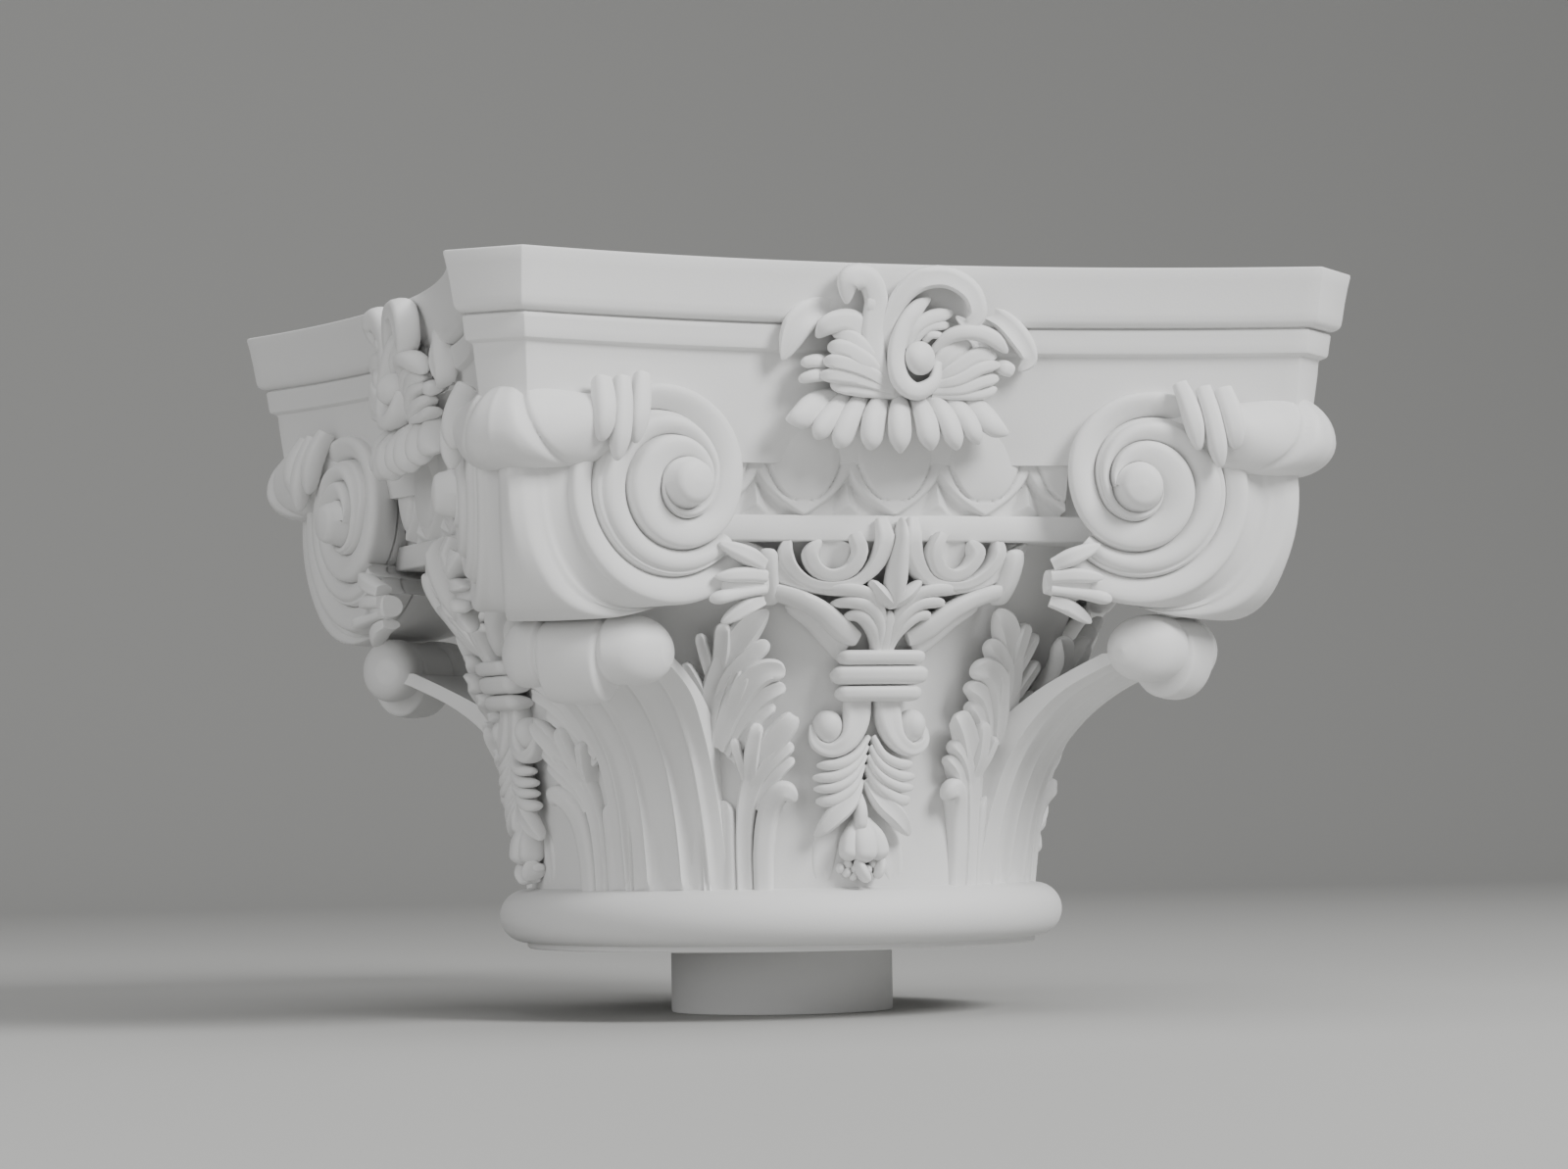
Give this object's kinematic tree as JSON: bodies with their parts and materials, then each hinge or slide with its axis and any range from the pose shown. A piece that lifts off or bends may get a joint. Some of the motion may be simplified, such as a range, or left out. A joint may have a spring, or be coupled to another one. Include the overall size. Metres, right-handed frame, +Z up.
{
  "type": "composite column capital",
  "caption": "Square column capital with concave abacus, corner volutes, egg and dart, acanthus leaves, a round neck moulding and a centring spigot.",
  "frame": {"origin": "centre of the spigot's flat foot, the lowest point", "axes": "+Z up along the column's axis, the four sides face -Y, +X, +Y and -X"},
  "size_m": [0.4074, 0.4074, 0.3189],
  "materials": {
    "plaster": "matt, sanded cast plaster"
  },
  "bodies": {
    "root": {"capital": "plaster"}
  },
  "joints": []
}
